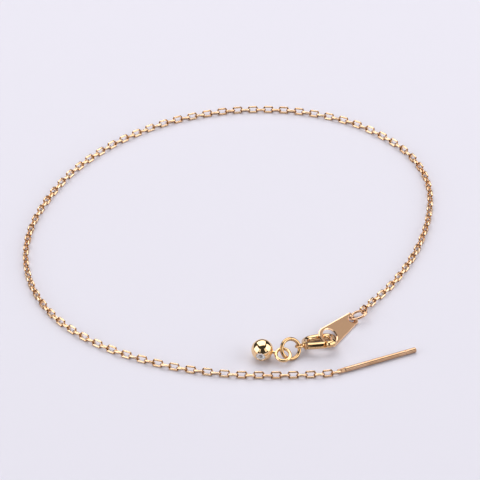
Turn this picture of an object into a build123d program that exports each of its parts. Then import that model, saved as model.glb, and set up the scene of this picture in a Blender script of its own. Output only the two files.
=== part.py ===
"""Chain anklet that lies open on a flat surface, with a threader bar and a slide ball.

Millimetres, +Z up. The origin is on the surface, under the middle of the chain's loop.
The chain runs once round the loop, from the threader bar to the oval ring. The oval ring
joins it to the end plate, and the lobster clasp is hooked through the plate's large hole.
"""

from math import cos, pi, radians, sin, tan
import os

from build123d import *

os.makedirs("parts", exist_ok=True)

# ---- chain ---------------------------------------------------------------------
CHAIN_WIDTH = 1.18  # across the links, which stand on their edges
CHAIN_Z = CHAIN_WIDTH / 2
ARC_SHARE = 0.45  # share of the shorter run that each bend's arc takes
CHAIN_ROUTE = [
    (19.6, -41.15, CHAIN_Z),
    (15.6, -41.6, CHAIN_Z),
    (7.1, -42.1, CHAIN_Z),
    (-2.1, -41.4, CHAIN_Z),
    (-11.2, -39.5, CHAIN_Z),
    (-19.9, -36.1, CHAIN_Z),
    (-27.8, -31.3, CHAIN_Z),
    (-33.9, -24.3, CHAIN_Z),
    (-38.0, -15.9, CHAIN_Z),
    (-39.8, -6.8, CHAIN_Z),
    (-39.2, 2.5, CHAIN_Z),
    (-36.9, 11.5, CHAIN_Z),
    (-32.8, 19.8, CHAIN_Z),
    (-27.1, 27.1, CHAIN_Z),
    (-20.2, 33.3, CHAIN_Z),
    (-12.2, 38.2, CHAIN_Z),
    (-3.4, 41.2, CHAIN_Z),
    (5.8, 42.2, CHAIN_Z),
    (15.0, 41.2, CHAIN_Z),
    (23.9, 38.5, CHAIN_Z),
    (31.5, 33.0, CHAIN_Z),
    (36.9, 25.4, CHAIN_Z),
    (39.6, 16.5, CHAIN_Z),
    (39.5, 7.1, CHAIN_Z),
    (37.6, -1.9, CHAIN_Z),
    (34.2, -10.6, CHAIN_Z),
    (30.2, -17.2, CHAIN_Z),
    (27.3, -20.5, CHAIN_Z),
    (25.6, -23.2, 0.95),
]

# ---- threader bar --------------------------------------------------------------
BAR_DIAMETER = 1.0
BAR_TAIL = (20.15, -40.94, BAR_DIAMETER / 2)  # the end that the chain hangs on
BAR_TIP = (34.90, -34.61, BAR_DIAMETER / 2)
BAR_ROUND = 0.14  # chamfer of the tip
TAIL_LENGTH = 1.5  # the pressed tail, which lies inside the shaft's round
TAIL_WIDTH = 0.92
TAIL_THICKNESS = 0.5  # across its two flats
TAIL_CORNER = 0.22
TAIL_CHAMFER = 0.08
BAR_HOLE_DIAMETER = 0.56
BAR_HOLE_FROM_TAIL = 0.47
BAR_HOLE_TURN = 45  # degrees about the bar, as the last link stands
GROOVE_FROM_TIP = 2.1
GROOVE_WIDTH = 0.16
GROOVE_DEPTH = 0.06

# ---- slide ball and its soldered ring ------------------------------------------
BALL_RADIUS = 2.05
BALL_CENTRE = (6.14, -36.48, BALL_RADIUS)
BALL_BORE_RADIUS = 0.88
BALL_BORE_AXIS = (-0.176, -0.972, -0.13)
BALL_MOUTH_ROUND = 0.08
CORE_GAP = 0.02
CORE_BORE_RADIUS = 0.46
CORE_RECESS = 0.12  # from the ball's mouth to the end of the soft tube
SMALL_RING_RADIUS = 1.32
SMALL_RING_WIRE = 0.31
SMALL_RING_REACH = 4.0  # from the ball's centre to the ring's
SMALL_RING_WAY = (0.971, -0.201, -0.129)
SMALL_RING_NORMAL = (0.064, -0.302, 0.951)
SOLDER_RADIUS = 0.30

# ---- large ring ----------------------------------------------------------------
LARGE_RING_RADIUS = 1.87
LARGE_RING_WIRE = 0.36
LARGE_RING_CENTRE = (11.44, -36.02, 1.88)
LARGE_RING_NORMAL = (0.444, -0.665, 0.601)
LARGE_RING_SEAM_WAY = (0, 0.67, 0.742)  # towards the place where the wire's ends meet
LARGE_RING_SEAM = 1.5  # degrees left open where the wire's ends meet

# ---- lobster clasp: x along it to the hook's end, y to its back -----------------
CLASP_CENTRE = (16.73, -33.57, 1.57)
CLASP_YAW, CLASP_PITCH, CLASP_ROLL = 2.0, 4.9, -20.1
EYE_CENTRE = (-3.63, -1.46)
EYE_RADIUS = 0.71
EYE_WIRE = 0.19
HOOK_LINE = [(-2.6, -1.1), (-2.6, 1.45), (0.5, 2.5), (2.68, 1.75), (2.68, -1.45), (1.9, -1.98)]
HOOK_BENDS = [1.7, 3.6, 1.4, 0.7]
HOOK_WIRE = 0.67
HOOK_TIP = 0.68  # the rounded bulb that the lever shuts against
LEVER_LINE = [(-1.98, -1.86), (-0.4, -2.02), (1.9, -1.88)]
LEVER_WIRE = 0.66
SEAM_POINT = (1.35, -1.95)
SEAM_SLOPE = 37  # degrees that the seam leans over the lever
PIVOT = (-2.35, -1.62)
PIVOT_CLEAR = 0.50  # round cut in the lever's arm about the pivot
CHEEK_RADIUS = 0.44
CHEEK_OUTSIDE = 0.60
TONGUE_RADIUS = 0.34
TONGUE_HALF = 0.22
RIVET_RADIUS = 0.15
RIVET_GAP = 0.01
LEVER_HOLE_GAP = 0.04
LEVER_CLEARANCE = 0.04
LEVER_LINK = 0.75  # from the pivot into the lever's arm
LEVER_LINK_HEIGHT = 0.58
LEVER_TRIM = 3.0  # of the lever's wire cut off beyond the seam
LEVER_OPENS = 20  # degrees, inwards
POCKET_RISE = 0.46  # above the pivot, square to the open lever
POCKET_START = 0.12
POCKET_LENGTH = 4.2
POCKET_BACK = 0.25
POCKET_DEPTH = 1.0
SEAM_INNER = 0.9
SEAM_OUTER = 1.2

# ---- end plate: x from the large hole to the small one --------------------------
LARGE_HOLE = (18.89, -31.715, 1.402)  # on the plate's upper face
SMALL_HOLE = (23.138, -26.32, 1.007)
PLATE_ROLL = 31.3
PLATE_THICKNESS = 0.36
PLATE_BEYOND_LARGE = 2.30
PLATE_BEYOND_SMALL = 1.0
PLATE_HALF_AT_LARGE = 2.10
PLATE_HALF_AT_SMALL = 1.33
PLATE_CORNER_LARGE = 1.9
PLATE_CORNER_SMALL = 0.4
LARGE_HOLE_RADIUS = 1.48
SMALL_HOLE_RADIUS = 0.62
PLATE_BEVEL_WIDTH = 0.17
PLATE_BEVEL_DEPTH = 0.10

# ---- oval ring -----------------------------------------------------------------
OVAL_CENTRE = (24.39, -25.23, 1.10)
OVAL_YAW, OVAL_PITCH, OVAL_ROLL = 10.2, 18.6, -11.5
OVAL_LENGTH = 3.28
OVAL_WIDTH = 2.51
OVAL_END_RADIUS = 1.02
OVAL_WIRE = 0.25


def tilted(origin, yaw, pitch, roll):
    """A plane with its x turned by yaw and lifted by pitch, then rolled about that x."""
    x_way = Vector(1, 0, 0).rotate(Axis.Y, -pitch).rotate(Axis.Z, yaw)
    level = Vector(0, 0, 1).cross(x_way).normalized()
    upright = x_way.cross(level)
    y_way = level * cos(radians(roll)) + upright * sin(radians(roll))
    return Plane(origin=origin, x_dir=x_way, z_dir=x_way.cross(y_way))


def wire_along(path, radius):
    """Round wire swept along a path."""
    return sweep(Plane(origin=path @ 0, z_dir=path % 0) * Circle(radius), path=path)


def upright_disc(centre, radius, half):
    """A disc lying in the clasp's plane, with its middle on that plane."""
    return Pos(centre[0], centre[1], 0) * Cylinder(radius, 2 * half)


def bend_radii(points):
    """The largest arc that each bend of the chain's route has room for."""
    radii = []
    for before, here, after in zip(points, points[1:], points[2:]):
        run_in = Vector(*here) - Vector(*before)
        run_out = Vector(*after) - Vector(*here)
        half_turn = radians(run_in.get_angle(run_out)) / 2
        radii.append(ARC_SHARE * min(run_in.length, run_out.length) / tan(half_turn))
    return radii


def make_chain():
    radii = bend_radii(CHAIN_ROUTE)
    path = FilletPolyline(*CHAIN_ROUTE, radius=radii)
    print("chain bends, mm:", [round(radius, 1) for radius in radii])
    chain = wire_along(path, CHAIN_WIDTH / 2)
    section = pi * CHAIN_WIDTH**2 / 4
    volume_share = chain.volume / section / path.length
    print("chain length", round(path.length, 2), "volume share", round(volume_share, 4))
    return chain


def make_threader_bar():
    tail, tip = Vector(*BAR_TAIL), Vector(*BAR_TIP)
    length = (tip - tail).length
    radius = BAR_DIAMETER / 2
    groove = length - GROOVE_FROM_TIP
    outline = [
        (0, TAIL_LENGTH),
        (radius, TAIL_LENGTH),
        (radius, groove - GROOVE_WIDTH / 2),
        (radius - GROOVE_DEPTH, groove),
        (radius, groove + GROOVE_WIDTH / 2),
        (radius, length - BAR_ROUND),
        (radius - BAR_ROUND, length),
        (0, length),
    ]
    shaft = revolve(Plane.XZ * make_face(Polyline(*outline, close=True)), axis=Axis.Z)
    from_end = (Align.CENTER, Align.CENTER, Align.MIN)
    tail_end = Box(TAIL_THICKNESS, TAIL_WIDTH, TAIL_LENGTH, align=from_end)
    tail_end = fillet(tail_end.edges().filter_by(Axis.Z), TAIL_CORNER)
    tail_end = chamfer(tail_end.edges().group_by(Axis.Z)[0], TAIL_CHAMFER)
    cross_hole = Rot(0, 90, 0) * Cylinder(BAR_HOLE_DIAMETER / 2, BAR_DIAMETER)
    tail_end -= Pos(0, 0, BAR_HOLE_FROM_TAIL) * cross_hole
    along = Plane(origin=BAR_TAIL, x_dir=(0, 0, 1), z_dir=tip - tail)
    round_length = length - BAR_ROUND - TAIL_LENGTH
    print("bar length", round(length, 3), "way", tuple(round(v, 5) for v in (tip - tail).normalized()))
    print("bar's round part", round(round_length, 3), "from its tail", TAIL_LENGTH)
    return along * (shaft + Rot(0, 0, BAR_HOLE_TURN) * tail_end)


def make_slide_ball():
    bore = Plane(origin=BALL_CENTRE, z_dir=BALL_BORE_AXIS)
    ball = Sphere(BALL_RADIUS) - Cylinder(BALL_BORE_RADIUS, 3 * BALL_RADIUS)
    ball = fillet(ball.edges().filter_by(GeomType.CIRCLE), BALL_MOUTH_ROUND)
    way = Vector(*SMALL_RING_WAY).normalized()
    ring_centre = Vector(*BALL_CENTRE) + way * SMALL_RING_REACH
    ring = Plane(origin=ring_centre, z_dir=SMALL_RING_NORMAL) * Torus(SMALL_RING_RADIUS, SMALL_RING_WIRE)
    solder_length = SMALL_RING_REACH - SMALL_RING_RADIUS - BALL_RADIUS + SMALL_RING_WIRE
    solder_foot = Vector(*BALL_CENTRE) + way * (BALL_RADIUS - SMALL_RING_WIRE)
    solder = Plane(origin=solder_foot, z_dir=way) * Cylinder(
        SOLDER_RADIUS, solder_length, align=(Align.CENTER, Align.CENTER, Align.MIN)
    )
    return bore * ball + solder + ring


def make_ball_core():
    mouth = (BALL_RADIUS**2 - BALL_BORE_RADIUS**2) ** 0.5
    length = 2 * (mouth - CORE_RECESS)
    tube = Cylinder(BALL_BORE_RADIUS - CORE_GAP, length) - Cylinder(CORE_BORE_RADIUS, length)
    return Plane(origin=BALL_CENTRE, z_dir=BALL_BORE_AXIS) * tube


def make_large_ring():
    ring = revolve(
        Pos(LARGE_RING_RADIUS, 0, 0) * (Plane.XZ * Circle(LARGE_RING_WIRE)),
        axis=Axis.Z,
        revolution_arc=360 - LARGE_RING_SEAM,
    )
    seat = Plane(origin=LARGE_RING_CENTRE, x_dir=LARGE_RING_SEAM_WAY, z_dir=LARGE_RING_NORMAL)
    return seat * ring


def make_swing_pocket():
    """The room that the lever swings in, cut straight through the casting."""
    rise = radians(LEVER_OPENS)
    along, above = Vector(cos(rise), sin(rise)), Vector(-sin(rise), cos(rise))
    pivot = Vector(*PIVOT)
    near_pivot = pivot + above * POCKET_RISE + along * POCKET_START
    far_inside = near_pivot + along * POCKET_LENGTH
    lean = radians(SEAM_SLOPE)
    seam = Vector(*SEAM_POINT) + Vector(cos(lean), -sin(lean)) * LEVER_CLEARANCE
    seam_way = Vector(sin(lean), cos(lean))
    corners = [near_pivot, far_inside, seam + seam_way * SEAM_INNER, seam - seam_way * SEAM_OUTER]
    corners.append(Vector(near_pivot.X + POCKET_BACK, corners[-1].Y))
    pocket = Pos(0, 0, -POCKET_DEPTH) * extrude(make_face(Polyline(*corners, close=True)), 2 * POCKET_DEPTH)
    return pocket - upright_disc(PIVOT, PIVOT_CLEAR - LEVER_CLEARANCE, 2 * POCKET_DEPTH)


def make_clasp_body():
    hook_path = FilletPolyline(*[(x, y, 0) for x, y in HOOK_LINE], radius=HOOK_BENDS)
    body = wire_along(hook_path, HOOK_WIRE)
    body += Pos(*HOOK_LINE[0]) * Sphere(HOOK_WIRE)
    body += Pos(*HOOK_LINE[-1]) * Sphere(HOOK_TIP)
    body += Pos(*EYE_CENTRE) * Torus(EYE_RADIUS, EYE_WIRE)
    body += upright_disc(PIVOT, CHEEK_RADIUS, CHEEK_OUTSIDE)
    body -= make_swing_pocket()
    slot_half = TONGUE_HALF + LEVER_CLEARANCE
    from_pivot = (Align.MIN, Align.CENTER, Align.CENTER)
    slot_open = Box(2 * PIVOT_CLEAR, 2 * PIVOT_CLEAR, 2 * slot_half, align=from_pivot)
    body -= upright_disc(PIVOT, TONGUE_RADIUS + LEVER_CLEARANCE, slot_half)
    body -= Pos(*PIVOT) * slot_open
    return body - upright_disc(PIVOT, RIVET_RADIUS + RIVET_GAP, 2 * HOOK_WIRE)


def make_clasp_lever():
    lever = wire_along(ThreePointArc(*[(x, y, 0) for x, y in LEVER_LINE]), LEVER_WIRE)
    lean = radians(SEAM_SLOPE)
    seam = Plane(origin=(*SEAM_POINT, 0), x_dir=(0, 0, 1), z_dir=(cos(lean), -sin(lean), 0))
    lever -= seam * Box(LEVER_TRIM, LEVER_TRIM, LEVER_TRIM, align=(Align.CENTER, Align.CENTER, Align.MIN))
    lever -= upright_disc(PIVOT, PIVOT_CLEAR, 2 * LEVER_WIRE)
    lever += upright_disc(PIVOT, TONGUE_RADIUS, TONGUE_HALF)
    from_pivot = (Align.MIN, Align.CENTER, Align.CENTER)
    lever += Pos(*PIVOT) * Box(LEVER_LINK, LEVER_LINK_HEIGHT, 2 * TONGUE_HALF, align=from_pivot)
    return lever - upright_disc(PIVOT, RIVET_RADIUS + LEVER_HOLE_GAP, 2 * LEVER_WIRE)


def make_clasp_rivet():
    return upright_disc(PIVOT, RIVET_RADIUS, CHEEK_OUTSIDE)


def make_end_plate():
    span = Vector(*SMALL_HOLE) - Vector(*LARGE_HOLE)
    taper = (PLATE_HALF_AT_SMALL - PLATE_HALF_AT_LARGE) / span.length
    wide_x, narrow_x = -PLATE_BEYOND_LARGE, span.length + PLATE_BEYOND_SMALL
    wide_y = PLATE_HALF_AT_LARGE + taper * wide_x
    narrow_y = PLATE_HALF_AT_LARGE + taper * narrow_x
    corners = [(wide_x, wide_y), (wide_x, -wide_y), (narrow_x, -narrow_y), (narrow_x, narrow_y)]
    face = make_face(Polyline(*corners, close=True))
    face = fillet(face.vertices().group_by(Axis.X)[0], PLATE_CORNER_LARGE)
    face = fillet(face.vertices().group_by(Axis.X)[-1], PLATE_CORNER_SMALL)
    face = face - Circle(LARGE_HOLE_RADIUS) - Pos(span.length, 0) * Circle(SMALL_HOLE_RADIUS)
    plate = Pos(0, 0, -PLATE_THICKNESS) * extrude(face, PLATE_THICKNESS)
    for side in (-1, 0):
        flat = plate.faces().sort_by(Axis.Z)[side]
        rims = plate.edges().group_by(Axis.Z)[side]
        plate = chamfer(rims, PLATE_BEVEL_WIDTH, PLATE_BEVEL_DEPTH, reference=flat)
    yaw = Vector(1, 0, 0).get_signed_angle(Vector(span.X, span.Y, 0), Vector(0, 0, 1))
    pitch = 90 - span.get_angle(Vector(0, 0, 1))
    return tilted(LARGE_HOLE, yaw, pitch, PLATE_ROLL) * plate


def make_oval_ring():
    """An oval of two end arcs and two flatter side arcs that meet smoothly."""
    half_length, half_width = OVAL_LENGTH / 2, OVAL_WIDTH / 2
    end_x = half_length - OVAL_END_RADIUS
    side_radius = (end_x**2 + half_width**2 - OVAL_END_RADIUS**2) / (2 * (half_width - OVAL_END_RADIUS))
    side_y = side_radius - half_width
    reach = side_radius / (side_radius - OVAL_END_RADIUS)
    join_x, join_y = end_x * reach, side_y * (reach - 1)
    path = Wire(
        [
            ThreePointArc((join_x, -join_y), (half_length, 0), (join_x, join_y)).edge(),
            ThreePointArc((join_x, join_y), (0, half_width), (-join_x, join_y)).edge(),
            ThreePointArc((-join_x, join_y), (-half_length, 0), (-join_x, -join_y)).edge(),
            ThreePointArc((-join_x, -join_y), (0, -half_width), (join_x, -join_y)).edge(),
        ]
    )
    ring = sweep(Plane(origin=path @ 0, z_dir=path % 0) * Circle(OVAL_WIRE), path=path)
    return tilted(OVAL_CENTRE, OVAL_YAW, OVAL_PITCH, OVAL_ROLL) * ring


clasp_place = tilted(CLASP_CENTRE, CLASP_YAW, CLASP_PITCH, CLASP_ROLL)
pieces = {
    "chain": make_chain(),
    "threader_bar": make_threader_bar(),
    "slide_ball": make_slide_ball(),
    "ball_core": make_ball_core(),
    "large_ring": make_large_ring(),
    "clasp_body": clasp_place * make_clasp_body(),
    "clasp_lever": clasp_place * make_clasp_lever(),
    "clasp_rivet": clasp_place * make_clasp_rivet(),
    "end_plate": make_end_plate(),
    "oval_ring": make_oval_ring(),
}
for name, piece in pieces.items():
    export_step(piece, f"parts/{name}.step")
    print(name, round(piece.volume, 3), "mm3", len(piece.solids()), "solid")

pivot_point = clasp_place.from_local_coords(Vector(*PIVOT, 0))
print("lever pivot", tuple(round(v, 3) for v in pivot_point))
print("lever axis", tuple(round(v, 4) for v in clasp_place.z_dir))
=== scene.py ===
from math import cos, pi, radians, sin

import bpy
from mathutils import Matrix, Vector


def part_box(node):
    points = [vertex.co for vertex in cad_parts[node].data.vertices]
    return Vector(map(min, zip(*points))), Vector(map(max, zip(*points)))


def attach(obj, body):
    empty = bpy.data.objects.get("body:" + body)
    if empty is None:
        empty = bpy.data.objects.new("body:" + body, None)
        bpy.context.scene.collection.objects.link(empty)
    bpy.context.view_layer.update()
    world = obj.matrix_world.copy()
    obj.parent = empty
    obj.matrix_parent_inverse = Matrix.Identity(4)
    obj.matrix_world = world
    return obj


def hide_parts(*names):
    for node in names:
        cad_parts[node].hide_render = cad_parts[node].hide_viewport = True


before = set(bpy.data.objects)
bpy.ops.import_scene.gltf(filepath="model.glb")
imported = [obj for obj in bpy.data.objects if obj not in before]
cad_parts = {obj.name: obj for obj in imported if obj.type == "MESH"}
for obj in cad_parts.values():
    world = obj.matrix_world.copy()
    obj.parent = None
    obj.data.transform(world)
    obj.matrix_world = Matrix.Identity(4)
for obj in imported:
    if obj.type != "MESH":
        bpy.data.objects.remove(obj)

# %% [markdown]
# # A fine chain anklet, finished for a close look
# The measured pieces come in from model.glb: a threader bar, a slide ball with its soft
# core, jump rings, a lobster clasp and an end plate. They keep their shapes here. This file
# lays the chain's real links along its route, gives every piece its own metal finish, and
# sets up the floor, the lamps and the camera.

MM = 0.001
bpy.ops.object.select_all(action="DESELECT")
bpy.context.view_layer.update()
scene = bpy.context.scene
print("pieces in the frame:", sorted(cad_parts))

# %% [markdown]
# ## The camera
# Jewellery this small is usually taken from well back with a long lens, so that the near
# and far sides of the loop keep nearly the same scale. A close camera with a short lens
# would frame the same loop, but it would swell the near side. The camera looks down at the
# table at a little under forty degrees, at a point near the middle of the loop.

# %% Camera on a line through the middle of the view
CAMERA_RISE = radians(38.45)
CAMERA_DISTANCE = 576.6 * MM
CAMERA_LENS = 220.7
LOOK_AT = Vector((2.0, -1.65, 0.52)) * MM
camera_data = bpy.data.cameras.new("camera")
camera_data.lens = CAMERA_LENS
camera_data.clip_start = 10 * MM
camera = bpy.data.objects.new("camera", camera_data)
scene.collection.objects.link(camera)
camera.location = LOOK_AT + CAMERA_DISTANCE * Vector((0, -cos(CAMERA_RISE), sin(CAMERA_RISE)))
camera.rotation_euler = (pi / 2 - CAMERA_RISE, 0, 0)
scene.camera = camera
print("camera at", [round(v, 4) for v in camera.location])

# %% [markdown]
# ## The chain's line
# A chain that lies on a table takes one smooth curve. It could be drawn as a mesh edge
# loop, but a NURBS spline needs only a few listed points and bends gently near
# them. The line starts in the middle of the bar's last link and ends in the middle of the
# link on the oval ring, where it climbs to the ring's height.

# %% Route of the chain, in millimetres
LINE_Z = 0.59
LINE_STEPS = 24
CHAIN_ROUTE = [
    (19.8, -41.1, LINE_Z),
    (18.9, -41.48, LINE_Z),
    (15.6, -41.8, LINE_Z),
    (7.1, -42.15, LINE_Z),
    (-2.1, -41.6, LINE_Z),
    (-11.2, -39.5, LINE_Z),
    (-19.9, -36.05, LINE_Z),
    (-27.7, -31.1, LINE_Z),
    (-34.1, -24.4, LINE_Z),
    (-38.3, -15.9, LINE_Z),
    (-40.0, -6.8, LINE_Z),
    (-39.3, 2.5, LINE_Z),
    (-36.5, 11.4, LINE_Z),
    (-32.5, 19.7, LINE_Z),
    (-27.0, 26.9, LINE_Z),
    (-20.2, 33.1, LINE_Z),
    (-12.2, 37.95, LINE_Z),
    (-3.4, 40.9, LINE_Z),
    (5.8, 42.1, LINE_Z),
    (15.0, 41.2, LINE_Z),
    (23.9, 38.2, LINE_Z),
    (31.6, 32.7, LINE_Z),
    (37.4, 25.3, LINE_Z),
    (40.1, 16.5, LINE_Z),
    (39.75, 7.1, LINE_Z),
    (37.65, -1.9, LINE_Z),
    (34.1, -10.6, LINE_Z),
    (30.1, -17.2, LINE_Z),
    (27.3, -20.6, LINE_Z),
    (25.45, -23.68, 1.15),
]

# %% [markdown]
# A spline has no vertices to read, so a mesh made from it gives its points in order. With
# no bevel that mesh is one thread of edges. The spline's order and its end setting are put
# in after the points, because they are checked against the number of points.


# %% A helper that reads the points of a smooth line
def smooth_line(name, points_mm):
    """The points of a NURBS spline along a route, in metres."""
    data = bpy.data.curves.new(name, "CURVE")
    data.dimensions = "3D"
    data.resolution_u = LINE_STEPS
    spline = data.splines.new("NURBS")
    spline.points.add(len(points_mm) - 1)
    for point, place in zip(spline.points, points_mm):
        point.co = (*(Vector(place) * MM), 1)
    spline.order_u = 3
    spline.use_endpoint_u = True
    holder = bpy.data.objects.new(name, data)
    thread = bpy.data.meshes.new_from_object(holder)
    line = [vertex.co.copy() for vertex in thread.vertices]
    bpy.data.objects.remove(holder)
    bpy.data.meshes.remove(thread)
    return line


chain_line = smooth_line("chain_line", CHAIN_ROUTE)
line_length = sum((b - a).length for a, b in zip(chain_line, chain_line[1:]))
print("chain line:", len(chain_line), "points,", round(line_length / MM, 1), "mm")

# %% [markdown]
# ## One link
# A link of this chain is a short oblong of gold wire with its corners cut off. It could be
# a curve with a bevel, but a hundred and fifty copies have to stay light, so it is a torus
# with only eight sides and an eight-sided wire: sixty-four faces. The torus is round, and
# edit mode makes it oblong: each of its eight rings of vertices is picked by its place and
# moved to its corner of the link.

# %% Sizes of a link
LINK_LENGTH = 2.16 * MM
LINK_WIDTH = 1.46 * MM
LINK_WIRE = 0.42 * MM
LINK_END = 0.24 * MM
END_SHARE = 0.57  # the ends are pressed thinner than the sides
LINK_DEPTH = 0.38 * MM  # wire square to the link's oblong
CORNER_X = 0.26 * MM  # run of a cut corner along the link
CORNER_Y = 0.28 * MM  # and across it
LINK_SIDES = 8
WIRE_SIDES = 8
PICK_RADIUS = 0.55 * LINK_WIRE


# %% A helper that picks one ring of the wire by its place
def pick_ring(mesh, place):
    """Select the visible vertices near a place on the link's middle plane."""
    bpy.ops.object.mode_set(mode="EDIT")
    bpy.ops.mesh.select_all(action="DESELECT")
    bpy.ops.object.mode_set(mode="OBJECT")
    for vertex in mesh.vertices:
        flat = Vector((vertex.co.x, vertex.co.y, 0))
        vertex.select = (flat - place).length < PICK_RADIUS and not vertex.hide
    bpy.ops.object.mode_set(mode="EDIT")


# %% [markdown]
# The ring that has been moved is hidden, so that a later pick can't take it again. The two
# rings beside each end are also pressed flatter along the link, as the ends are on the
# real chain, where the links hold each other. At the end the whole link is squeezed to the
# wire's depth.


# %% Link modelled lying along X, with its oblong in the XY plane
def make_link():
    bpy.ops.mesh.primitive_torus_add(
        major_radius=LINK_WIDTH / 2,
        minor_radius=LINK_WIRE / 2,
        major_segments=LINK_SIDES,
        minor_segments=WIRE_SIDES,
        rotation=(0, 0, pi / LINK_SIDES),
    )
    link = bpy.context.object
    bpy.ops.object.transform_apply(location=True, rotation=True, scale=True)
    side_y = (LINK_WIDTH - LINK_WIRE) / 2
    end_x = (LINK_LENGTH - LINK_END) / 2
    near = LINK_WIDTH / 2 * sin(pi / LINK_SIDES)
    far = LINK_WIDTH / 2 * cos(pi / LINK_SIDES)
    moves = [
        ((far, near), (end_x, side_y - CORNER_Y), END_SHARE),
        ((near, far), (end_x - CORNER_X, side_y), 1.0),
    ]
    for x_sign, y_sign in ((1, 1), (1, -1), (-1, 1), (-1, -1)):
        for old, new, share in moves:
            old_place = Vector((x_sign * old[0], y_sign * old[1], 0))
            new_place = Vector((x_sign * new[0], y_sign * new[1], 0))
            pick_ring(link.data, old_place)
            bpy.ops.transform.translate(value=new_place - old_place)
            bpy.ops.transform.resize(value=(share, 1, 1))
            bpy.ops.mesh.hide()
    bpy.ops.mesh.reveal()
    bpy.ops.mesh.select_all(action="SELECT")
    bpy.ops.transform.resize(value=(1, 1, LINK_DEPTH / LINK_WIRE))
    bpy.ops.object.mode_set(mode="OBJECT")
    bpy.ops.object.shade_smooth()
    return link


link = make_link()
link.name = "link_pattern"
print("one link:", len(link.data.polygons), "faces,", [round(v / MM, 2) for v in link.dimensions], "mm")

# %% [markdown]
# The cut corners of a link are coloured a dark brown: a painted shade for the dark that
# the corners reflect. The finish has to know which faces those are. A face attribute carries
# that: it is copied with the mesh, and the material reads it by name.

# %% Mark the cut corners of the link, for their painted shade
CORNER_NAME = "cut_corner"
corner_mark = link.data.attributes.new(CORNER_NAME, "FLOAT", "FACE")
corner_from_x = (LINK_LENGTH - LINK_END) / 2 - CORNER_X
corner_from_y = (LINK_WIDTH - LINK_WIRE) / 2 - CORNER_Y
for face in link.data.polygons:
    in_corner = abs(face.center.x) > corner_from_x and abs(face.center.y) > corner_from_y
    corner_mark.data[face.index].value = float(in_corner)
print("faces in cut corners:", sum(round(mark.value) for mark in corner_mark.data))

# %% [markdown]
# ## The links along the line
# Each link of a cable chain stands a quarter turn from its neighbour, and on a table they
# lean to both sides at about forty-five degrees. The chain also carries a slow twist of a
# few degrees, one way on the near side of the loop and the other on the far side. An Array
# with a Curve modifier would bend the links themselves. Here each copy is placed stiff, at
# equal distances along the line, with its own mesh, and all are joined into one piece. The
# count is even: the first link stands on edge to the camera, in the bar's hole, and the
# last lies open to it, round the oval ring.

# %% Numbers of the laid chain
LINK_COUNT = 152
LEAN = radians(45)
TWIST = radians(6.5)
LEAN_PLAY = radians(4)  # how much a link may lie looser than its neighbours
PLAY_PACE = 2.4


# %% Helpers that find a place on the line and lay a link there
def place_on(line, distance):
    """The point at a distance along a line, and the line's direction there."""
    for start, end in zip(line, line[1:]):
        run = (end - start).length
        if distance <= run:
            return start + (end - start) * (distance / run), (end - start).normalized()
        distance -= run
    return line[-1], (line[-1] - line[-2]).normalized()


def link_matrix(centre, along, lean):
    """A matrix that lays a link's X along a direction, leans it and sets it on the table."""
    side = Vector((0, 0, 1)).cross(along).normalized()
    up = along.cross(side)
    roll = lean + TWIST * side.y
    flat = side * cos(roll) + up * sin(roll)
    resting = abs(sin(roll)) * (LINK_WIDTH - LINK_WIRE) / 2 + LINK_WIRE / 2
    settle = Vector((0, 0, resting - LINE_Z * MM))
    turn = Matrix((along, flat, along.cross(flat))).transposed().to_4x4()
    return Matrix.Translation(centre + settle) @ turn


# %% Copies of the link, laid and joined
def lay_chain(pattern):
    copies = []
    for index in range(LINK_COUNT):
        centre, along = place_on(chain_line, line_length * index / (LINK_COUNT - 1))
        lean = -LEAN if index % 2 else LEAN
        lean += LEAN_PLAY * sin(PLAY_PACE * index)
        copy = bpy.data.objects.new(f"link_{index}", pattern.data.copy())
        copy.data.transform(link_matrix(centre, along, lean))
        scene.collection.objects.link(copy)
        copies.append(copy)
    bpy.ops.object.select_all(action="DESELECT")
    for copy in copies:
        copy.select_set(True)
    bpy.context.view_layer.objects.active = copies[0]
    bpy.ops.object.join()
    return bpy.context.object


chain = lay_chain(link)
chain.name = "chain_links"
bpy.data.objects.remove(link)
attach(chain, "anklet")
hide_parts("chain")
print("chain:", LINK_COUNT, "links,", len(chain.data.polygons), "faces")

# %% [markdown]
# ## What every gold finish shares
# Polished gold is never quite even. The alloy shows paler and deeper patches a millimetre
# or so across, and the polishing cloth leaves fine marks that blur a reflection here and
# keep it sharp there. Both could be painted on each piece, but a node group makes them
# once: each material gives it two colours and a roughness, and gets back a colour, a
# roughness and a height that change over the surface.


# %% Helpers for node trees
def add_node(tree, kind, **settings):
    """A node of a kind, with named settings, and input values given by name as a dict."""
    node = tree.nodes.new(kind)
    values = settings.pop("values", {})
    for name, value in settings.items():
        setattr(node, name, value)
    for name, value in values.items():
        node.inputs[name].default_value = value
    return node


def new_group(name, inputs, outputs):
    """A shader node group with float or colour sockets, given as name to kind."""
    group = bpy.data.node_groups.new(name, "ShaderNodeTree")
    for socket, kind in inputs.items():
        group.interface.new_socket(socket, in_out="INPUT", socket_type=kind)
    for socket, kind in outputs.items():
        group.interface.new_socket(socket, in_out="OUTPUT", socket_type=kind)
    return group, group.nodes.new("NodeGroupInput"), group.nodes.new("NodeGroupOutput")


FLOAT, COLOUR = "NodeSocketFloat", "NodeSocketColor"

# %% [markdown]
# The patches are a soft noise on object coordinates, so they stay on the piece when it
# moves. The marks are a much finer noise, squeezed along one axis so that it reads as
# short strokes. They raise the roughness a little where they are deep, and they feed the
# height of a bump.


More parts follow.
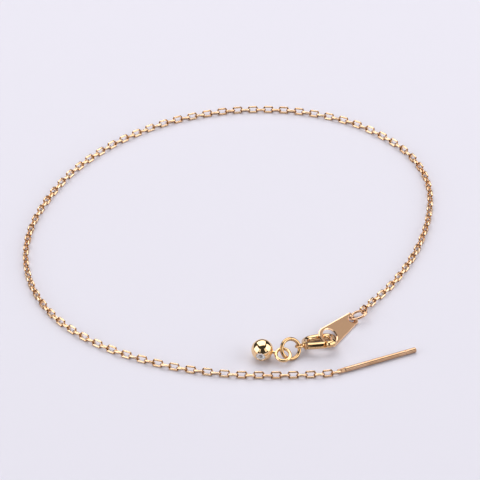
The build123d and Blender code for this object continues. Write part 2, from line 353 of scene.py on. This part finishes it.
# %% The group for hand-polished metal
def make_polish():
    inputs = {"Pale": COLOUR, "Deep": COLOUR, "Roughness": FLOAT, "Haze": FLOAT, "Patch Scale": FLOAT}
    outputs = {"Colour": COLOUR, "Roughness": FLOAT, "Height": FLOAT}
    group, given, result = new_group("hand_polish", inputs, outputs)
    place = add_node(group, "ShaderNodeTexCoord")
    patches = add_node(group, "ShaderNodeTexNoise", values={"Detail": 2.0, "Roughness": 0.45})
    spread = add_node(group, "ShaderNodeMapRange", values={"From Min": 0.35, "From Max": 0.65})
    blend = add_node(group, "ShaderNodeMix", data_type="RGBA")
    stretch = add_node(group, "ShaderNodeMapping", values={"Scale": (1.0, 5.0, 2.5)})
    marks = add_node(group, "ShaderNodeTexNoise", values={"Scale": 2200.0, "Detail": 3.0})
    haze = add_node(group, "ShaderNodeMath", operation="MULTIPLY_ADD")
    join = group.links.new
    join(place.outputs["Object"], patches.inputs["Vector"])
    join(given.outputs["Patch Scale"], patches.inputs["Scale"])
    join(patches.outputs["Fac"], spread.inputs["Value"])
    join(spread.outputs["Result"], blend.inputs["Factor"])
    join(given.outputs["Pale"], blend.inputs["A"])
    join(given.outputs["Deep"], blend.inputs["B"])
    join(place.outputs["Object"], stretch.inputs["Vector"])
    join(stretch.outputs["Vector"], marks.inputs["Vector"])
    join(marks.outputs["Fac"], haze.inputs[0])
    join(given.outputs["Haze"], haze.inputs[1])
    join(given.outputs["Roughness"], haze.inputs[2])
    join(blend.outputs["Result"], result.inputs["Colour"])
    join(haze.outputs["Value"], result.inputs["Roughness"])
    join(marks.outputs["Fac"], result.inputs["Height"])
    return group


polish = make_polish()
print("group", polish.name, "with", len(polish.nodes), "nodes")

# %% [markdown]
# ## The polished golds
# One function turns the group into a finish: it places the group in a new material, sets
# its inputs, and feeds the Principled shader, which stays outside the group with a plain
# Metallic of one. The bump is very shallow, because real marks are far finer than a hair
# and only soften the edge of a reflection.


# %% A helper that makes a polished metal
def polished_metal(name, pale, deep, roughness, haze, patch_scale, mark_depth):
    """A metal material from the hand_polish group; returns it, its shader and its group."""
    material = bpy.data.materials.new(name)
    material.use_nodes = True
    tree = material.node_tree
    shader = tree.nodes["Principled BSDF"]
    shader.inputs["Metallic"].default_value = 1.0
    finish = add_node(tree, "ShaderNodeGroup", node_tree=polish)
    finish.inputs["Pale"].default_value = (*pale, 1)
    finish.inputs["Deep"].default_value = (*deep, 1)
    finish.inputs["Roughness"].default_value = roughness
    finish.inputs["Haze"].default_value = haze
    finish.inputs["Patch Scale"].default_value = patch_scale
    bump = add_node(tree, "ShaderNodeBump", values={"Strength": 0.3, "Distance": mark_depth})
    tree.links.new(finish.outputs["Colour"], shader.inputs["Base Color"])
    tree.links.new(finish.outputs["Roughness"], shader.inputs["Roughness"])
    tree.links.new(finish.outputs["Height"], bump.inputs["Height"])
    tree.links.new(bump.outputs["Normal"], shader.inputs["Normal"])
    return material, shader, finish


def dress(obj, material):
    """Give an object one material."""
    obj.data.materials.clear()
    obj.data.materials.append(material)


# %% [markdown]
# The ball is the brightest piece: thin sheet gold, spun and polished like a mirror, in a
# yellow alloy. The jump ring, the clasp and its rivet are cast or drawn in nearly the same
# alloy and polished in a drum, which leaves them a touch hazier. Their colours are set
# darker than the ball's, the ring's and the rivet's most: a painted shade for the shaded
# floor and gold that their surfaces reflect.

# %% Yellow golds
MIRROR_PALE, MIRROR_DEEP = (0.98, 0.70, 0.40), (0.92, 0.63, 0.33)
# painted shade: the clasp's and the ring's golds are set darker than the ball's, for the shade they
# reflect
CLASP_PALE, CLASP_DEEP = (0.78, 0.53, 0.29), (0.67, 0.44, 0.22)
RING_PALE, RING_DEEP = (0.66, 0.43, 0.22), (0.56, 0.35, 0.17)
YELLOW_FINISHES = {
    # name: pale, deep, roughness, haze, patch scale, depth of the marks, pieces
    "ball_gold": (MIRROR_PALE, MIRROR_DEEP, 0.03, 0.04, 500, 0.0003, ["slide_ball"]),
    "ring_gold": (RING_PALE, RING_DEEP, 0.04, 0.05, 600, 0.0005, ["large_ring"]),
    "clasp_gold": (CLASP_PALE, CLASP_DEEP, 0.04, 0.06, 700, 0.0005, ["clasp_body", "clasp_lever"]),
    "rivet_gold": (RING_PALE, RING_DEEP, 0.10, 0.08, 900, 0.0005, ["clasp_rivet"]),
}
for name, (pale, deep, roughness, haze, patches, depth, pieces) in YELLOW_FINISHES.items():
    gold, _, _ = polished_metal(name, pale, deep, roughness, haze, patches, depth * MM)
    for piece in pieces:
        dress(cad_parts[piece], gold)
    print(name, "on", pieces)

# %% [markdown]
# The bar, the oval ring and the chain are a redder alloy. The bar is straight drawn wire,
# polished nearly as bright as the ball. Its colours are set far darker than the chain's, a
# painted shade for the shadowed floor in front of it that it reflects. The oval ring is bent
# from thin wire by hand, and pliers and cloth leave it a little hazier.

# %% Rose golds for the bar and the oval ring
# painted shade: the bar's rose golds are set far darker than the chain's; the oval ring takes
# BRIGHT_ROSE as its deep colour
BRIGHT_ROSE, DEEP_ROSE = (0.69, 0.44, 0.28), (0.57, 0.345, 0.20)
OVAL_PALE = (0.78, 0.50, 0.32)
bar_gold, _, _ = polished_metal("bar_gold", BRIGHT_ROSE, DEEP_ROSE, 0.03, 0.05, 450, 0.0004 * MM)
oval_gold, _, _ = polished_metal("oval_gold", OVAL_PALE, BRIGHT_ROSE, 0.06, 0.08, 700, 0.0005 * MM)
dress(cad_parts["threader_bar"], bar_gold)
dress(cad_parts["oval_ring"], oval_gold)
print("rose golds on the bar and the oval ring")

# %% [markdown]
# ## The chain's gold
# Links are tumbled in a drum and not polished one by one, so each is a little softer than
# the ball's mirror. The face attribute from the link's pattern darkens the cut corners with
# a painted shade of brown, for the dark that the corners reflect. The mix comes after the
# shared group, so the patches still show on the sides.

# %% Pale rose gold with painted shade in the corners
CHAIN_PALE, CHAIN_DEEP = (1.0, 0.73, 0.47), (0.98, 0.63, 0.36)
# painted shade: the cut corners are coloured dark brown for the dark they reflect
PAINTED_CORNER_SHADE = (0.34, 0.16, 0.06)
chain_gold, chain_shader, chain_finish = polished_metal(
    "chain_gold", CHAIN_PALE, CHAIN_DEEP, 0.13, 0.08, 300, 0.0008 * MM
)
chain_tree = chain_gold.node_tree
corner_read = add_node(chain_tree, "ShaderNodeAttribute", attribute_name=CORNER_NAME)
corner_shade_mix = add_node(chain_tree, "ShaderNodeMix", data_type="RGBA", values={"B": (*PAINTED_CORNER_SHADE, 1)})
chain_tree.links.new(corner_read.outputs["Fac"], corner_shade_mix.inputs["Factor"])
chain_tree.links.new(chain_finish.outputs["Colour"], corner_shade_mix.inputs["A"])
chain_tree.links.new(corner_shade_mix.outputs["Result"], chain_shader.inputs["Base Color"])
dress(chain, chain_gold)
print("chain gold:", len(chain_tree.nodes), "nodes")

# %% [markdown]
# ## The end plate
# The flat of the plate is brushed along its length, while its bevels and the walls of its
# holes are polished. One CAD node carries all of them, so the material tells them apart by
# the direction of the surface: where the normal agrees with the plate's own, the face is
# the flat. That direction is read from the plate's largest face.

# %% The plate's directions, from its mesh
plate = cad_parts["end_plate"]
plate_normal = max(plate.data.polygons, key=lambda face: face.area).normal.copy()
plate_low, plate_high = (Vector(corner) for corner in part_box("end_plate"))
plate_along = plate_high - plate_low
plate_along = (plate_along - plate_normal * plate_along.dot(plate_normal)).normalized()
brush_turn = Matrix((plate_along, plate_normal.cross(plate_along), plate_normal)).to_euler()
print("plate normal", [round(v, 3) for v in plate_normal])

# %% [markdown]
# Brushing is a noise that is stretched a lot along the strokes and hardly across them. The
# Mapping node turns the pattern to lie along the plate. The strokes change the colour a
# little, the roughness more, and give the bump its height. Both colours of the flat are set
# far darker than the bevels', a painted shade for the dim side of the room that the flat
# reflects.


# %% Satin plate with its flat painted in shade, and bright bevels
BEVEL_PALE, BEVEL_DEEP = (0.93, 0.64, 0.42), (0.88, 0.55, 0.33)
# painted shade: the brushed flat's colours are far darker than the bevels'; the strokes between the two
# are real
BRUSHED_SHADE_DARK, BRUSHED_SHADE_PALE = (0.35, 0.21, 0.125), (0.45, 0.28, 0.17)
STROKE_SCALE = 9000.0
STROKE_SQUEEZE = (0.06, 1.0, 1.0)


def make_plate_gold():
    material, shader, finish = polished_metal(
        "plate_gold", BEVEL_PALE, BEVEL_DEEP, 0.08, 0.08, 500, 0.0012 * MM
    )
    tree = material.node_tree
    join = tree.links.new
    place = add_node(tree, "ShaderNodeTexCoord")
    turn = add_node(tree, "ShaderNodeMapping", values={"Rotation": brush_turn})
    squeeze = add_node(tree, "ShaderNodeMapping", values={"Scale": STROKE_SQUEEZE})
    strokes = add_node(tree, "ShaderNodeTexNoise", values={"Scale": STROKE_SCALE, "Detail": 4.0})
    brushed = add_node(tree, "ShaderNodeMix", data_type="RGBA")
    brushed.inputs["A"].default_value = (*BRUSHED_SHADE_DARK, 1)
    brushed.inputs["B"].default_value = (*BRUSHED_SHADE_PALE, 1)
    rough = add_node(tree, "ShaderNodeMapRange", values={"To Min": 0.34, "To Max": 0.50})
    agree = add_node(tree, "ShaderNodeVectorMath", operation="DOT_PRODUCT")
    agree.inputs[1].default_value = plate_normal
    size = add_node(tree, "ShaderNodeMath", operation="ABSOLUTE")
    on_flat = add_node(tree, "ShaderNodeMapRange", values={"From Min": 0.96, "From Max": 0.985})
    colour = add_node(tree, "ShaderNodeMix", data_type="RGBA")
    roughness = add_node(tree, "ShaderNodeMix", data_type="FLOAT")
    join(place.outputs["Object"], turn.inputs["Vector"])
    join(turn.outputs["Vector"], squeeze.inputs["Vector"])
    join(squeeze.outputs["Vector"], strokes.inputs["Vector"])
    join(strokes.outputs["Fac"], brushed.inputs["Factor"])
    join(strokes.outputs["Fac"], rough.inputs["Value"])
    join(place.outputs["Normal"], agree.inputs[0])
    join(agree.outputs["Value"], size.inputs[0])
    join(size.outputs["Value"], on_flat.inputs["Value"])
    join(on_flat.outputs["Result"], colour.inputs["Factor"])
    join(finish.outputs["Colour"], colour.inputs["A"])
    join(brushed.outputs["Result"], colour.inputs["B"])
    join(colour.outputs["Result"], shader.inputs["Base Color"])
    join(on_flat.outputs["Result"], roughness.inputs["Factor"])
    join(finish.outputs["Roughness"], roughness.inputs["A"])
    join(rough.outputs["Result"], roughness.inputs["B"])
    join(roughness.outputs["Result"], shader.inputs["Roughness"])
    bump = shader.inputs["Normal"].links[0].from_node
    join(strokes.outputs["Fac"], bump.inputs["Height"])
    return material


plate_gold = make_plate_gold()
dress(plate, plate_gold)
print("plate gold:", len(plate_gold.node_tree.nodes), "nodes")

# %% [markdown]
# ## The soft core
# Inside the ball sits a tube of clear silicone. Light goes into it and comes out again, so
# it glows a little and its hole is never black. Subsurface scattering does that. A fine
# noise keeps the tube's cut ends from looking like hard plastic.


# %% Milky silicone
MILK_DEEP, MILK_PALE = (0.95, 0.90, 0.88), (0.99, 0.96, 0.95)


def make_silicone():
    material = bpy.data.materials.new("core_silicone")
    material.use_nodes = True
    tree = material.node_tree
    shader = tree.nodes["Principled BSDF"]
    shader.inputs["Subsurface Weight"].default_value = 0.7
    shader.inputs["Subsurface Radius"].default_value = (1.0, 0.85, 0.75)
    shader.inputs["Subsurface Scale"].default_value = 0.8 * MM
    place = add_node(tree, "ShaderNodeTexCoord")
    cloud = add_node(tree, "ShaderNodeTexNoise", values={"Scale": 900.0, "Detail": 3.0})
    milk = add_node(tree, "ShaderNodeMix", data_type="RGBA")
    milk.inputs["A"].default_value = (*MILK_DEEP, 1)
    milk.inputs["B"].default_value = (*MILK_PALE, 1)
    rough = add_node(tree, "ShaderNodeMapRange", values={"To Min": 0.14, "To Max": 0.30})
    bump = add_node(tree, "ShaderNodeBump", values={"Strength": 0.3, "Distance": 0.01 * MM})
    tree.links.new(place.outputs["Object"], cloud.inputs["Vector"])
    tree.links.new(cloud.outputs["Fac"], milk.inputs["Factor"])
    tree.links.new(cloud.outputs["Fac"], rough.inputs["Value"])
    tree.links.new(cloud.outputs["Fac"], bump.inputs["Height"])
    tree.links.new(milk.outputs["Result"], shader.inputs["Base Color"])
    tree.links.new(rough.outputs["Result"], shader.inputs["Roughness"])
    tree.links.new(bump.outputs["Normal"], shader.inputs["Normal"])
    return material


dress(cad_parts["ball_core"], make_silicone())
print("silicone on the ball's core")

# %% [markdown]
# ## The floor
# The anklet lies on plain pale paper with a cool, slightly violet white. The floor is part
# of the picture and not of the object.

# %% Pale floor
FLOOR_SIZE = 4.0
FLOOR_DROP = 0.02 * MM  # keeps the floor clear of the lowest pieces
FLOOR_WHITE = (0.734, 0.714, 0.79)
bpy.ops.object.select_all(action="DESELECT")
bpy.ops.mesh.primitive_plane_add(size=FLOOR_SIZE, location=(0, 0, -FLOOR_DROP))
floor = bpy.context.object
floor.name = "floor"
floor_paint = bpy.data.materials.new("floor_paint")
floor_paint.use_nodes = True
paper = floor_paint.node_tree.nodes["Principled BSDF"]
paper.inputs["Base Color"].default_value = (*FLOOR_WHITE, 1)
paper.inputs["Roughness"].default_value = 0.9
paper.inputs["Specular IOR Level"].default_value = 0.1
dress(floor, floor_paint)

# %% [markdown]
# ## The lamps
# Polished metal shows the room more than itself: a gold ball is a small map of every lamp
# round it, and the dark gaps between the lamps draw its shape. So the light comes from a
# few soft boxes with gaps between them: a large one overhead and behind, one at each side,
# and two weak ones in front, right and left. Area lamps are used, because a mesh that
# glows would be noisier. They are hidden from the camera itself.


# %% A helper that hangs a soft box and turns it to the middle of the loop
def softbox(name, place, size, power):
    data = bpy.data.lights.new(name, "AREA")
    data.shape = "RECTANGLE"
    data.size, data.size_y = size
    data.energy = power
    lamp = bpy.data.objects.new(name, data)
    lamp.location = place
    lamp.rotation_euler = (-Vector(place)).to_track_quat("-Z", "Y").to_euler()
    lamp.visible_camera = False
    scene.collection.objects.link(lamp)
    print(name, "gives", power, "W from", place)


# %% Five soft boxes and a dim room
ROOM_GREY = (0.5, 0.5, 0.52)
ROOM_STRENGTH = 0.1
softbox("roof", (-0.08, 0.45, 0.75), (1.1, 1.2), 9.0)
softbox("left_wall", (-0.80, -0.27, 0.34), (0.85, 0.75), 4.2)
softbox("right_wall", (0.84, -0.02, 0.40), (0.9, 0.85), 5.0)
softbox("right_front", (0.60, -0.52, 0.44), (0.55, 0.6), 1.1)
softbox("left_front", (-0.45, -0.69, 0.44), (0.45, 0.5), 0.6)
world = bpy.data.worlds.new("studio")
scene.world = world
world.use_nodes = True
room = world.node_tree.nodes["Background"]
room.inputs["Color"].default_value = (*ROOM_GREY, 1)
room.inputs["Strength"].default_value = ROOM_STRENGTH
scene.view_settings.view_transform = "Standard"

# %% [markdown]
# ## The end
# The looks must not change the object's size.

# %% Finish
print("scene built")
